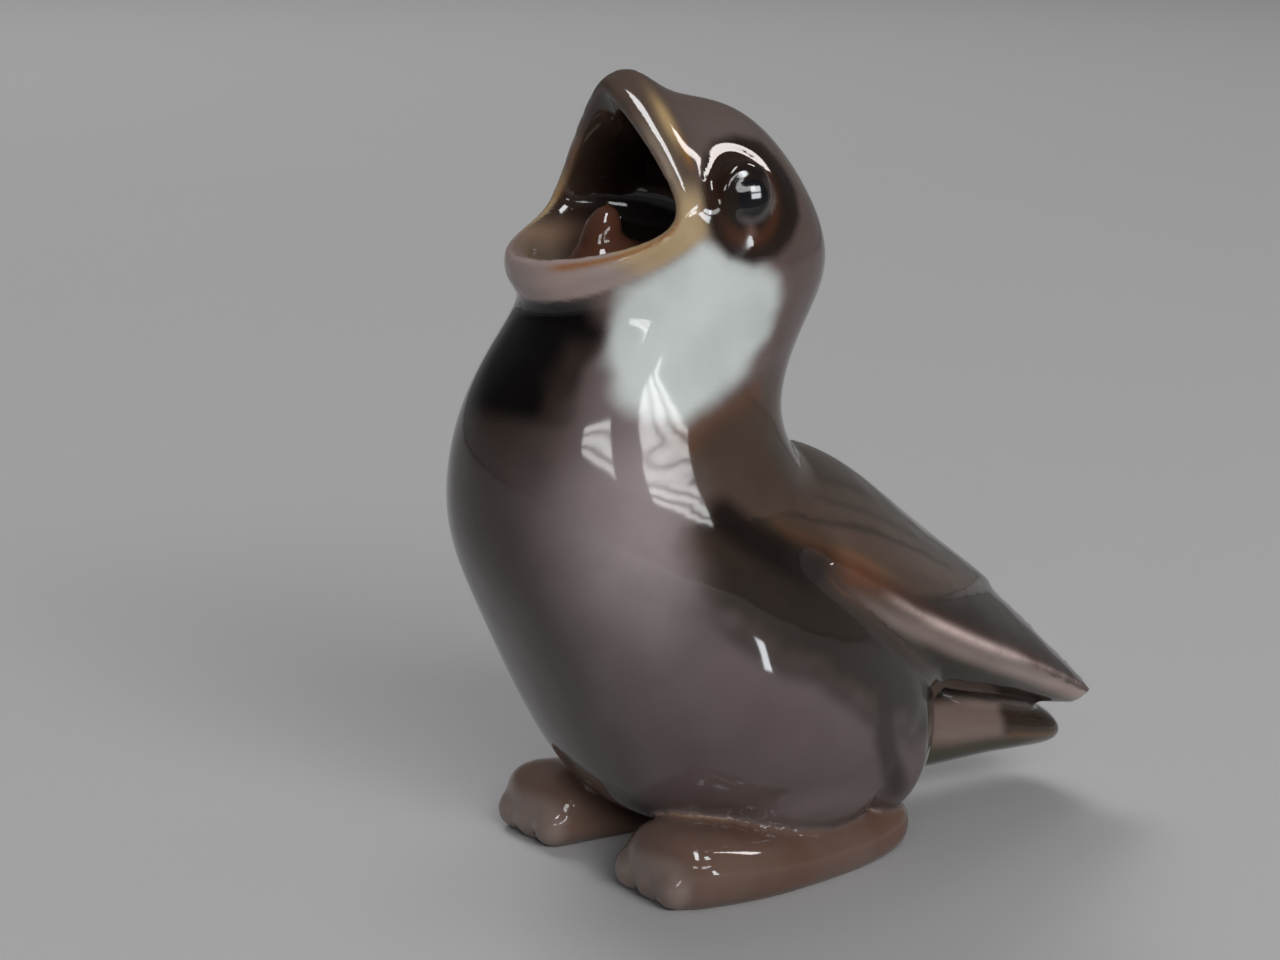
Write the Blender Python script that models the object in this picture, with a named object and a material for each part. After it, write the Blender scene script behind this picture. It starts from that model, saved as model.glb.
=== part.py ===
"""A fledgling sparrow figurine in glazed porcelain: one hollow casting that stands on its two feet.

The bird faces -Y, its left side is +X, and the soles rest on Z = 0.
Stations are written in millimetres and turned into metres when a mesh is made.
"""

import math

import bmesh
import bpy
import numpy as np

MM = 0.001
# The bird's overall size, and the size that the stations below are drawn at; they follow it.
WIDTH = 39.8
LENGTH = 67.0
HEIGHT = 74.3
DRAWN_SIZE = (39.8, 67.0, 74.3)
# Half way between the breast and the wing tips, which puts the origin under the middle of the box.
DRAWN_MIDDLE_Y = 7.5

WALL = 3.0
VENT_DIAMETER = 3.4
VENT_Y = -3.4

SKIN_VOXEL = 0.55
SMOOTHING_ROUNDS = 5
SKIN_KEPT_FACES = 0.078

# Rings of the body from rump to beak rim, then on into the mouth:
# back y, z | belly y, z | side y, z | half width | side roundness | fullness of the upper half
BODY = (
    (22.6, 8.8, 22.2, 6.8, 22.4, 7.8, 0.6, 3.0, 1.0),
    (22.2, 13.8, 18.6, 2.6, 20.0, 7.8, 8.5, 3.0, 1.0),
    (19.8, 20.3, 8.0, 2.2, 13.0, 11.3, 15.5, 3.0, 1.0),
    (16.0, 26.3, -8.0, 4.4, 4.6, 15.4, 18.7, 3.0, 1.0),
    (12.2, 31.6, -16.0, 12.2, -2.2, 21.5, 19.9, 3.0, 1.0),
    (8.2, 36.3, -21.2, 22.8, -7.5, 29.0, 19.2, 3.0, 1.0),
    (5.4, 40.3, -25.6, 33.3, -9.8, 36.3, 17.1, 3.0, 1.0),
    (4.7, 44.8, -25.0, 43.8, -9.0, 43.8, 14.1, 3.0, 1.0),
    (7.4, 50.6, -21.3, 50.2, -5.9, 50.9, 12.9, 3.0, 1.0),
    (9.8, 57.3, -19.6, 52.4, -3.3, 56.0, 13.0, 2.0, 1.0),
    (6.9, 65.3, -19.2, 53.4, -4.4, 59.6, 12.6, 1.0, 0.9),
    (1.6, 70.6, -19.5, 54.2, -6.4, 61.2, 11.8, 0.7, 0.75),
    (-4.6, 72.3, -20.1, 55.0, -8.4, 61.8, 11.2, 0.5, 0.52),
    (-8.8, 74.4, -20.5, 56.1, -10.2, 62.0, 11.1, 0.35, 0.34),
    (-11.8, 73.4, -20.4, 57.6, -10.8, 61.9, 10.5, 0.3, 0.28),
    (-11.5, 72.2, -19.7, 58.2, -10.5, 61.8, 9.6, 0.3, 0.28),
    (-10.3, 70.6, -17.9, 57.4, -9.8, 61.8, 8.9, 0.4, 0.4),
    (-7.0, 67.8, -14.0, 55.8, -7.2, 61.6, 7.6, 0.8, 0.7),
    (-3.5, 64.8, -9.0, 56.0, -4.5, 60.4, 5.0, 2.0, 1.0),
    (-2.2, 61.3, -4.0, 58.0, -3.0, 59.6, 1.5, 3.0, 1.0),
)

# The hollow follows these stations of the body, one wall inside them, and ends in the neck
HOLLOW_START = 1.15
HOLLOW_END = 7.2
HOLLOW_STATIONS = 9
# Rings on the skin behind the mouth that the hollow's top follows, written like the body's
NAPE = (
    (8.6, 55.0, -12.0, 51.8, -2.0, 53.6, 11.6, 3.0, 1.0),
    (9.2, 60.2, -2.4, 56.4, 3.2, 58.6, 9.8, 3.0, 1.0),
    (7.8, 64.6, -2.6, 61.6, 2.6, 63.2, 8.0, 3.0, 1.0),
    (6.6, 65.8, -0.4, 64.4, 3.1, 65.1, 4.2, 3.0, 1.0),
)

# Stations of the left wing from shoulder to tip: inner edge x, y, z | outer ridge x, y, z | depth
WING = (
    (11.0, -10.0, 40.8, 13.0, -10.5, 39.3, 1.0),
    (8.0, -4.0, 41.3, 16.6, -7.0, 36.4, 4.0),
    (3.0, 5.0, 39.8, 18.8, 0.5, 31.3, 6.4),
    (1.0, 14.0, 36.0, 18.4, 9.0, 26.2, 9.0),
    (1.0, 22.8, 29.3, 16.2, 19.2, 21.0, 10.8),
    (2.2, 30.8, 23.0, 12.8, 28.8, 16.8, 9.5),
    (4.2, 36.9, 17.0, 10.4, 35.8, 13.7, 6.7),
    (6.6, 41.4, 12.0, 8.6, 41.2, 11.0, 3.1),
)
WING_CROWN = 0.16
# The coverts end in a low step that leaves the ridge at a station and bends across the wing
COVERT_STEP = 0.6
COVERT_START = 2.1
COVERT_RUN = 2.25
COVERT_BEND = 2.2
COVERT_SOFTNESS = 0.15

# Stations of the closed tail: centre x, y, z | half width | half thickness
TAIL = (
    (0.0, 14.0, 9.8, 5.0, 5.4),
    (0.0, 22.0, 8.6, 6.8, 4.8),
    (0.0, 29.0, 8.3, 7.6, 4.1),
    (0.0, 35.0, 7.3, 7.3, 3.1),
    (0.0, 39.0, 6.4, 5.8, 2.0),
    (0.0, 40.3, 6.2, 1.6, 0.7),
)

# Stations of the left foot from heel to ball, written like the tail's
FOOT = (
    (9.8, 15.4, 2.8, 0.8, 0.8),
    (9.8, 14.2, 2.6, 3.0, 2.4),
    (10.3, 9.0, 2.0, 4.4, 2.8),
    (10.9, 2.0, 2.0, 5.4, 3.1),
    (11.2, -5.0, 2.5, 6.2, 3.6),
    (11.0, -9.6, 2.9, 6.2, 3.9),
    (10.9, -12.6, 2.9, 5.5, 3.5),
    (10.8, -14.5, 2.6, 2.2, 1.6),
)
# One toe, placed sideways by its spread and written like the tail's
TOE = (
    (0.0, -6.0, 2.4, 1.2, 1.4),
    (0.0, -9.0, 2.4, 2.4, 2.2),
    (0.0, -12.6, 2.1, 2.3, 2.1),
    (0.0, -14.2, 1.9, 1.8, 1.6),
    (0.0, -14.9, 1.8, 0.5, 0.4),
)
TOE_CENTRE_X = 10.7
TOE_SPREAD = (-3.5, 0.0, 3.1)

LEG_CENTRE = (10.8, 12.2, 12.6)
LEG_RADII = (5.2, 4.6, 8.6)
THIGH_CENTRE = (10.4, 3.4, 9.2)
THIGH_RADII = (5.6, 9.4, 6.2)
EYE_CENTRE = (10.5, -3.8, 63.2)
EYE_RADII = (1.9, 3.3, 3.9)
TONGUE_CENTRE = (0.0, -12.2, 58.9)
TONGUE_RADII = (2.0, 1.8, 3.7)
TONGUE_RISE = math.radians(20.0)
TONGUE_ROOT_CENTRE = (0.0, -10.8, 56.8)
TONGUE_ROOT_RADII = (3.4, 4.4, 2.7)


def clear_scene():
    for item in list(bpy.data.objects):
        bpy.data.objects.remove(item, do_unlink=True)


def through_stations(stations, at):
    """Rows of a natural cubic through the stations, at station numbers that may have fractions."""
    values = np.array(stations, dtype=float)
    last = len(values) - 1
    bend = np.zeros_like(values)
    inner = 4.0 * np.eye(last - 1) + np.eye(last - 1, k=1) + np.eye(last - 1, k=-1)
    change = values[2:] - 2.0 * values[1:-1] + values[:-2]
    bend[1:-1] = np.linalg.solve(inner, 6.0 * change)
    low = np.minimum(at.astype(int), last - 1)
    part = (at - low)[:, None]
    rest = 1.0 - part
    straight = rest * values[low] + part * values[low + 1]
    curved = (rest**3 - rest) * bend[low] + (part**3 - part) * bend[low + 1]
    return straight + curved / 6.0


def evenly(stations, count):
    """Rows evenly spaced from the first station to the last."""
    return through_stations(stations, np.linspace(0.0, len(stations) - 1.0, count))


def one_wall_inside(rows):
    """Rows of the body with back, belly and sides moved in by the wall."""
    moved = rows.copy()
    drop = rows[:, 2:4] - rows[:, 0:2]
    drop = drop / np.linalg.norm(drop, axis=1, keepdims=True)
    moved[:, 0:2] += drop * WALL
    moved[:, 2:4] -= drop * WALL
    moved[:, 6] -= WALL
    return moved


def ring_angles(count):
    return np.arange(count) * 2.0 * math.pi / count


def rings_of_body(rows, around):
    """Rings P = C + N cos a + (S - C) B, x = w sin a, with C and N from the back and belly points.

    B goes from 0 at back and belly to 1 at the sides: softly, or in a corner where the beak gapes.
    """
    angle = ring_angles(around)
    back, belly, side = rows[:, 0:2], rows[:, 2:4], rows[:, 4:6]
    width = rows[:, 6:7]
    roundness = np.maximum(rows[:, 7:8], 0.05)
    middle = (back + belly) / 2.0
    reach = (back - belly) / 2.0
    cosine, sine = np.cos(angle)[None, :], np.sin(angle)[None, :]
    drop = np.sqrt(cosine**2 + roundness**2) - roundness
    blend = 1.0 - drop / (np.sqrt(1.0 + roundness**2) - roundness)
    fullness = np.where(cosine > 0.0, rows[:, 8:9], 1.0)
    x = width * (fullness * sine + (1.0 - fullness) * np.sign(sine) * blend)
    plane = middle[:, None, :] + reach[:, None, :] * cosine[..., None]
    plane = plane + (side - middle)[:, None, :] * blend[..., None]
    return np.concatenate([x[..., None], plane], axis=-1)


def rings_of_wing(along, around):
    """Sections from the inner edge to the outer ridge, crowned on top and deep under the ridge."""
    rows = evenly(WING, along)
    angle = ring_angles(around)
    inner, ridge, depth = rows[:, 0:3], rows[:, 3:6], rows[:, 6:7]
    middle = (inner + ridge) / 2.0
    reach = (ridge - inner) / 2.0
    run = np.gradient(middle, axis=0)
    up = np.cross(reach, run)
    up = up * np.sign(up[:, 2:3]) / np.linalg.norm(up, axis=1, keepdims=True)
    cosine, sine = np.cos(angle)[None, :], np.sin(angle)[None, :]
    crown = WING_CROWN * np.linalg.norm(reach, axis=1, keepdims=True) * sine
    taper = 1.0 - 0.15 * np.maximum(cosine, 0.0) - 0.5 * np.maximum(-cosine, 0.0)
    under = -depth * np.abs(sine) ** 0.6 * taper
    station = np.linspace(0.0, len(WING) - 1.0, along)[:, None]
    covert_edge = 1.0 - (np.maximum(station - COVERT_START, 0.0) / COVERT_RUN) ** COVERT_BEND
    past_edge = np.clip((cosine - covert_edge) / COVERT_SOFTNESS, 0.0, 1.0) * np.clip(3.0 * sine, 0.0, 1.0)
    height = np.where(sine > 0.0, crown - COVERT_STEP * past_edge, under)
    flat = middle[:, None, :] + reach[:, None, :] * cosine[..., None]
    return flat + up[:, None, :] * height[..., None]


def rings_of_limb(stations, along, around, squareness=1.0):
    """Upright rounded sections; a squareness under 1 gives them flatter sides and top."""
    rows = evenly(stations, along)
    angle = ring_angles(around)
    across = np.sign(np.cos(angle)) * np.abs(np.cos(angle)) ** squareness
    over = np.sign(np.sin(angle)) * np.abs(np.sin(angle)) ** squareness
    x = rows[:, 0:1] + rows[:, 3:4] * across
    y = np.repeat(rows[:, 1:2], around, axis=1)
    z = rows[:, 2:3] + rows[:, 4:5] * over
    return np.stack([x, y, z], axis=-1)


def rings_of_egg(centre, radii, rise=0.0, along=20, around=24):
    """An ellipsoid whose rings run along Y, with its front end lifted by the rise angle."""
    polar = np.linspace(0.06, math.pi - 0.06, along)[:, None]
    angle = ring_angles(around)[None, :]
    x = radii[0] * np.sin(polar) * np.cos(angle)
    y = -radii[1] * np.cos(polar) * np.ones_like(angle)
    z = radii[2] * np.sin(polar) * np.sin(angle)
    turned_y = y * math.cos(rise) + z * math.sin(rise)
    turned_z = z * math.cos(rise) - y * math.sin(rise)
    return np.stack([x, turned_y, turned_z], axis=-1) + np.array(centre)


def mirrored(rings):
    return rings * np.array([-1.0, 1.0, 1.0])


def shifted(rings, x):
    return rings + np.array([x, 0.0, 0.0])


def add_closed_loft(bm, rings):
    """Bridges ring to ring and closes both ends with a face."""
    loops = [[bm.verts.new(point) for point in ring] for ring in rings]
    for ring, following in zip(loops, loops[1:]):
        for i, corner in enumerate(ring):
            j = (i + 1) % len(ring)
            bm.faces.new((corner, ring[j], following[j], following[i]))
    bm.faces.new(loops[0])
    bm.faces.new(loops[-1])


def mesh_of_lofts(name, lofts):
    """One mesh of closed lofts in metres, at the bird's size and round its own middle, faces outward."""
    size = np.array([WIDTH, LENGTH, HEIGHT]) / np.array(DRAWN_SIZE)
    middle = np.array([0.0, DRAWN_MIDDLE_Y, 0.0])
    bm = bmesh.new()
    for rings in lofts:
        add_closed_loft(bm, (rings - middle) * size * MM)
    bmesh.ops.recalc_face_normals(bm, faces=bm.faces)
    mesh = bpy.data.meshes.new(name)
    bm.to_mesh(mesh)
    bm.free()
    return mesh


def add_object(name, mesh):
    item = bpy.data.objects.new(name, mesh)
    bpy.context.scene.collection.objects.link(item)
    return item


def add_cutter(name, mesh):
    item = add_object(name, mesh)
    item.hide_render = True
    item.display_type = "WIRE"
    return item


def floor_cutter():
    """A block under Z = 0 that leaves both soles flat."""
    width, depth = 1.2 * WIDTH * MM, 1.2 * LENGTH * MM
    height = 0.1 * HEIGHT * MM
    bm = bmesh.new()
    bmesh.ops.create_cube(bm, size=1.0)
    bmesh.ops.scale(bm, vec=(width, depth, height), verts=bm.verts)
    bmesh.ops.translate(bm, vec=(0.0, 0.0, -height / 2.0), verts=bm.verts)
    mesh = bpy.data.meshes.new("floor_cutter")
    bm.to_mesh(mesh)
    bm.free()
    return add_cutter("floor_cutter", mesh)


def vent_cutter():
    """A drill from below through the belly's wall between the feet, into the hollow."""
    height = 3.5 * WALL * MM
    radius = VENT_DIAMETER / 2.0 * MM
    bm = bmesh.new()
    bmesh.ops.create_cone(
        bm, cap_ends=True, segments=24, radius1=radius, radius2=radius, depth=height
    )
    place = (0.0, VENT_Y * MM, height / 2.0)
    bmesh.ops.translate(bm, vec=place, verts=bm.verts)
    mesh = bpy.data.meshes.new("vent_cutter")
    bm.to_mesh(mesh)
    bm.free()
    return add_cutter("vent_cutter", mesh)


def hollow_cutter():
    """The body's own rings one wall further in, which go up behind the mouth."""
    trunk = through_stations(BODY, np.linspace(HOLLOW_START, HOLLOW_END, HOLLOW_STATIONS))
    rows = evenly(one_wall_inside(np.concatenate([trunk, NAPE])), 32)
    rings = rings_of_body(rows, around=26)
    return add_cutter("hollow_cutter", mesh_of_lofts("hollow_cutter", [rings]))


def porcelain():
    material = bpy.data.materials.new("glazed_porcelain")
    material.use_nodes = True
    shader = material.node_tree.nodes["Principled BSDF"]
    shader.inputs["Base Color"].default_value = (0.17, 0.13, 0.125, 1.0)
    shader.inputs["Roughness"].default_value = 0.08
    shader.inputs["Metallic"].default_value = 0.0
    shader.inputs["Coat Weight"].default_value = 1.0
    return material


def lofts_of_bird():
    """Every rounded form of the casting, overlapping its neighbours."""
    wing = rings_of_wing(along=44, around=40)
    foot = rings_of_limb(FOOT, along=30, around=32, squareness=0.85)
    leg = rings_of_egg(LEG_CENTRE, LEG_RADII)
    thigh = rings_of_egg(THIGH_CENTRE, THIGH_RADII)
    eye = rings_of_egg(EYE_CENTRE, EYE_RADII)
    lofts = [
        rings_of_body(evenly(BODY, 150), around=96),
        rings_of_limb(TAIL, along=24, around=32),
        rings_of_egg(TONGUE_CENTRE, TONGUE_RADII, rise=TONGUE_RISE),
        rings_of_egg(TONGUE_ROOT_CENTRE, TONGUE_ROOT_RADII),
    ]
    for form in (wing, foot, leg, thigh, eye):
        lofts += [form, mirrored(form)]
    for spread in TOE_SPREAD:
        toe = shifted(rings_of_limb(TOE, along=20, around=20), TOE_CENTRE_X + spread)
        lofts += [toe, mirrored(toe)]
    return lofts


def add_cut(item, cutter):
    cut = item.modifiers.new(cutter.name, "BOOLEAN")
    cut.operation = "DIFFERENCE"
    cut.object = cutter


def build_sparrow():
    """The casting: its forms flow together, and are then cut flat below and hollowed."""
    bird = add_object("porcelain_sparrow", mesh_of_lofts("porcelain_sparrow", lofts_of_bird()))
    skin = bird.modifiers.new("skin", "REMESH")
    skin.mode = "VOXEL"
    skin.voxel_size = SKIN_VOXEL * MM
    skin.use_smooth_shade = True
    flow = bird.modifiers.new("flow", "SMOOTH")
    flow.factor = 0.5
    flow.iterations = SMOOTHING_ROUNDS
    fewer = bird.modifiers.new("fewer_faces", "DECIMATE")
    fewer.ratio = SKIN_KEPT_FACES
    for cutter in (floor_cutter(), hollow_cutter(), vent_cutter()):
        add_cut(bird, cutter)
    bird.data.materials.append(porcelain())
    return bird


clear_scene()
build_sparrow()
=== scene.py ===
"""Fledgling sparrow in glazed porcelain: the fine casting, its underglaze painting and its glaze."""

import math

import bmesh
import bpy
import mathutils
import numpy as np
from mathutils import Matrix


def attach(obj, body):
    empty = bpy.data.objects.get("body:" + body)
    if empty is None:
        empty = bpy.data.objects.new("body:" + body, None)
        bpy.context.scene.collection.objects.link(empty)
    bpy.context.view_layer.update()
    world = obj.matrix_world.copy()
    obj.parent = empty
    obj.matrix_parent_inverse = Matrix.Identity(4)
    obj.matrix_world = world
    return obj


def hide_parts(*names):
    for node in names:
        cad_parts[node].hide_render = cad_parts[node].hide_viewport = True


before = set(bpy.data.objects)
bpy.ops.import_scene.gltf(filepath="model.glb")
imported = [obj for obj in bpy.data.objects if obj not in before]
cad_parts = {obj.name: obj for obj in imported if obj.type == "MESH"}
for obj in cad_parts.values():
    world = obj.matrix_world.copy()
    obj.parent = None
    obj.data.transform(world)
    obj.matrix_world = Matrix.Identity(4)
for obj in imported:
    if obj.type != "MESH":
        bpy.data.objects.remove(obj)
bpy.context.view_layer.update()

MM = 0.001
# The stations below are in millimetres, before the move that puts the box's middle at Y = 0.
MIDDLE_Y = 7.5
VENT_DIAMETER = 3.4
VENT_Y = -3.4
SKIN_VOXEL = 0.408
SKIN_SMOOTHING = 9

# Rings of the body from rump to beak rim, then on into the mouth:
# back y, z | belly y, z | side y, z | half width | side roundness | fullness of the upper half
BODY = (
    (22.6, 8.8, 22.2, 6.8, 22.4, 7.8, 0.6, 3.0, 1.0),
    (22.2, 13.8, 18.6, 2.6, 20.0, 7.8, 8.5, 3.0, 1.0),
    (19.8, 20.3, 8.0, 2.2, 13.0, 11.3, 15.5, 3.0, 1.0),
    (16.0, 26.3, -8.0, 4.4, 4.6, 15.4, 18.7, 3.0, 1.0),
    (12.2, 31.6, -16.0, 12.2, -2.2, 21.5, 19.9, 3.0, 1.0),
    (8.2, 36.3, -21.2, 22.8, -7.5, 29.0, 19.2, 3.0, 1.0),
    (5.4, 40.3, -25.6, 33.3, -9.8, 36.3, 17.1, 3.0, 1.0),
    (4.7, 44.8, -25.0, 43.8, -9.0, 43.8, 14.1, 3.0, 1.0),
    (7.4, 50.6, -21.3, 50.2, -5.9, 50.9, 12.9, 3.0, 1.0),
    (9.8, 57.3, -19.6, 52.4, -3.3, 56.0, 13.0, 2.0, 1.0),
    (6.9, 65.3, -19.2, 53.4, -4.4, 59.6, 12.6, 1.0, 0.9),
    (1.6, 70.6, -19.5, 54.2, -6.4, 61.2, 11.8, 0.7, 0.75),
    (-4.6, 72.3, -20.1, 55.0, -8.4, 61.8, 11.2, 0.5, 0.52),
    (-8.8, 74.4, -20.5, 56.1, -10.2, 62.0, 11.1, 0.35, 0.34),
    (-11.8, 73.4, -20.4, 57.6, -10.8, 61.9, 10.5, 0.3, 0.28),
    (-11.5, 72.2, -19.7, 58.2, -10.5, 61.8, 9.6, 0.3, 0.28),
    (-10.3, 70.6, -17.9, 57.4, -9.8, 61.8, 8.9, 0.4, 0.4),
    (-7.0, 67.8, -14.0, 55.8, -7.2, 61.6, 7.6, 0.8, 0.7),
    (-3.5, 64.8, -9.0, 56.0, -4.5, 60.4, 5.0, 2.0, 1.0),
    (-2.2, 61.3, -4.0, 58.0, -3.0, 59.6, 1.5, 3.0, 1.0),
)
RIM_STATION = 14.5

# Stations of the left wing from shoulder to tip: inner edge x, y, z | outer ridge x, y, z | depth
WING = (
    (11.0, -10.0, 40.8, 13.0, -10.5, 39.3, 1.0),
    (8.0, -4.0, 41.3, 16.6, -7.0, 36.4, 4.0),
    (3.0, 5.0, 39.8, 18.8, 0.5, 31.3, 6.4),
    (1.0, 14.0, 36.0, 18.4, 9.0, 26.2, 9.0),
    (1.0, 22.8, 29.3, 16.2, 19.2, 21.0, 10.8),
    (2.2, 30.8, 23.0, 12.8, 28.8, 16.8, 9.5),
    (4.2, 36.9, 17.0, 10.4, 35.8, 13.7, 6.7),
    (6.6, 41.4, 12.0, 8.6, 41.2, 11.0, 3.1),
)
WING_CROWN = 0.16
# The coverts end in a low step that leaves the ridge at a station and bends across the wing
COVERT_STEP = 0.6
COVERT_START = 2.1
COVERT_RUN = 2.25
COVERT_BEND = 2.2
COVERT_SOFTNESS = 0.15

# Stations of the closed tail: centre x, y, z | half width | half thickness
TAIL = (
    (0.0, 14.0, 9.8, 5.0, 5.4),
    (0.0, 22.0, 8.6, 6.8, 4.8),
    (0.0, 29.0, 8.3, 7.6, 4.1),
    (0.0, 35.0, 7.3, 7.3, 3.1),
    (0.0, 39.0, 6.4, 5.8, 2.0),
    (0.0, 40.3, 6.2, 1.6, 0.7),
)

# Stations of the left foot from heel to ball, and of one toe, written like the tail's
FOOT = (
    (9.8, 15.4, 2.8, 0.8, 0.8),
    (9.8, 14.2, 2.6, 3.0, 2.4),
    (10.3, 9.0, 2.0, 4.4, 2.8),
    (10.9, 2.0, 2.0, 5.4, 3.1),
    (11.2, -5.0, 2.5, 6.2, 3.6),
    (11.0, -9.6, 2.9, 6.2, 3.9),
    (10.9, -12.6, 2.9, 5.5, 3.5),
    (10.8, -14.5, 2.6, 2.2, 1.6),
)
TOE = (
    (0.0, -6.0, 2.4, 1.2, 1.4),
    (0.0, -9.0, 2.4, 2.4, 2.2),
    (0.0, -12.6, 2.1, 2.3, 2.1),
    (0.0, -14.2, 1.9, 1.8, 1.6),
    (0.0, -14.9, 1.8, 0.5, 0.4),
)
TOE_CENTRE_X = 10.7
TOE_SPREAD = (-3.5, 0.0, 3.1)

LEG_CENTRE = (10.8, 12.2, 12.6)
LEG_RADII = (5.2, 4.6, 8.6)
THIGH_CENTRE = (10.4, 3.4, 9.2)
THIGH_RADII = (5.6, 9.4, 6.2)
EYE_CENTRE = (10.5, -3.8, 63.2)
EYE_RADII = (1.9, 3.3, 3.9)
TONGUE_CENTRE = (0.0, -12.2, 58.9)
TONGUE_RADII = (2.0, 1.8, 3.7)
TONGUE_RISE = math.radians(20.0)
TONGUE_ROOT_CENTRE = (0.0, -10.8, 56.8)
TONGUE_ROOT_RADII = (3.4, 4.4, 2.7)

# The number each form carries into the painting
FORM_BODY, FORM_WING, FORM_TAIL, FORM_FOOT, FORM_TOE, FORM_LEG, FORM_EYE, FORM_TONGUE = range(8)


def direction(azimuth, elevation):
    """Unit vector from the bird towards something at that azimuth and elevation, in degrees."""
    a, e = math.radians(azimuth), math.radians(elevation)
    return np.array([math.sin(a) * math.cos(e), -math.cos(a) * math.cos(e), math.sin(e)])


def through_stations(stations, at):
    """Rows of a natural cubic through the stations: straight blend plus the second-derivative cubics."""
    values = np.array(stations, dtype=float)
    last = len(values) - 1
    bend = np.zeros_like(values)
    inner = 4.0 * np.eye(last - 1) + np.eye(last - 1, k=1) + np.eye(last - 1, k=-1)
    change = values[2:] - 2.0 * values[1:-1] + values[:-2]
    bend[1:-1] = np.linalg.solve(inner, 6.0 * change)
    low = np.minimum(at.astype(int), last - 1)
    part = (at - low)[:, None]
    rest = 1.0 - part
    straight = rest * values[low] + part * values[low + 1]
    curved = (rest**3 - rest) * bend[low] + (part**3 - part) * bend[low + 1]
    return straight + curved / 6.0


def ring_angles(count):
    return np.arange(count) * 2.0 * math.pi / count


def station_numbers(stations, along):
    return np.linspace(0.0, len(stations) - 1.0, along)


def rings_of_body(stations, along, around):
    """Rings P = C + N cos a + (S - C) B, x = w sin a, with C and N from the back and belly points.

    B goes from 0 at back and belly to 1 at the sides: softly, or in a corner where the beak gapes.
    """
    rows = through_stations(stations, station_numbers(stations, along))
    angle = ring_angles(around)
    back, belly, side = rows[:, 0:2], rows[:, 2:4], rows[:, 4:6]
    width = rows[:, 6:7]
    roundness = np.maximum(rows[:, 7:8], 0.05)
    middle = (back + belly) / 2.0
    reach = (back - belly) / 2.0
    cosine, sine = np.cos(angle)[None, :], np.sin(angle)[None, :]
    drop = np.sqrt(cosine**2 + roundness**2) - roundness
    blend = 1.0 - drop / (np.sqrt(1.0 + roundness**2) - roundness)
    fullness = np.where(cosine > 0.0, rows[:, 8:9], 1.0)
    x = width * (fullness * sine + (1.0 - fullness) * np.sign(sine) * blend)
    plane = middle[:, None, :] + reach[:, None, :] * cosine[..., None]
    plane = plane + (side - middle)[:, None, :] * blend[..., None]
    return np.concatenate([x[..., None], plane], axis=-1)


def rings_of_wing(along, around):
    """Sections from the inner edge to the outer ridge, crowned on top and deep under the ridge."""
    rows = through_stations(WING, station_numbers(WING, along))
    angle = ring_angles(around)
    inner, ridge, depth = rows[:, 0:3], rows[:, 3:6], rows[:, 6:7]
    middle = (inner + ridge) / 2.0
    reach = (ridge - inner) / 2.0
    run = np.gradient(middle, axis=0)
    up = np.cross(reach, run)
    up = up * np.sign(up[:, 2:3]) / np.linalg.norm(up, axis=1, keepdims=True)
    cosine, sine = np.cos(angle)[None, :], np.sin(angle)[None, :]
    crown = WING_CROWN * np.linalg.norm(reach, axis=1, keepdims=True) * sine
    taper = 1.0 - 0.15 * np.maximum(cosine, 0.0) - 0.5 * np.maximum(-cosine, 0.0)
    under = -depth * np.abs(sine) ** 0.6 * taper
    station = np.linspace(0.0, len(WING) - 1.0, along)[:, None]
    covert_edge = 1.0 - (np.maximum(station - COVERT_START, 0.0) / COVERT_RUN) ** COVERT_BEND
    past_edge = np.clip((cosine - covert_edge) / COVERT_SOFTNESS, 0.0, 1.0) * np.clip(3.0 * sine, 0.0, 1.0)
    height = np.where(sine > 0.0, crown - COVERT_STEP * past_edge, under)
    flat = middle[:, None, :] + reach[:, None, :] * cosine[..., None]
    return flat + up[:, None, :] * height[..., None]


def rings_of_limb(stations, along, around, squareness=1.0):
    """Upright rounded sections; a squareness under 1 gives them flatter sides and top."""
    rows = through_stations(stations, station_numbers(stations, along))
    angle = ring_angles(around)
    across = np.sign(np.cos(angle)) * np.abs(np.cos(angle)) ** squareness
    over = np.sign(np.sin(angle)) * np.abs(np.sin(angle)) ** squareness
    x = rows[:, 0:1] + rows[:, 3:4] * across
    y = np.repeat(rows[:, 1:2], around, axis=1)
    z = rows[:, 2:3] + rows[:, 4:5] * over
    return np.stack([x, y, z], axis=-1)


def rings_of_egg(centre, radii, rise=0.0, along=36, around=48):
    """An ellipsoid whose rings run along Y, with its front end lifted by the rise angle."""
    polar = np.linspace(0.04, math.pi - 0.04, along)[:, None]
    angle = ring_angles(around)[None, :]
    x = radii[0] * np.sin(polar) * np.cos(angle)
    y = -radii[1] * np.cos(polar) * np.ones_like(angle)
    z = radii[2] * np.sin(polar) * np.sin(angle)
    turned_y = y * math.cos(rise) + z * math.sin(rise)
    turned_z = z * math.cos(rise) - y * math.sin(rise)
    return np.stack([x, turned_y, turned_z], axis=-1) + np.array(centre)


def mirrored(rings):
    return rings * np.array([-1.0, 1.0, 1.0])


def shifted(rings, x):
    return rings + np.array([x, 0.0, 0.0])


def faces_of_loft(along, around, first):
    """Quads between neighbouring rings, with one face over each end."""
    corner = first + np.arange(along * around).reshape(along, around)
    following = np.roll(corner, -1, axis=1)
    quads = np.stack([corner[:-1], following[:-1], following[1:], corner[1:]], axis=-1)
    faces = quads.reshape(-1, 4).tolist()
    return faces + [corner[0].tolist(), corner[-1].tolist()]


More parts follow.
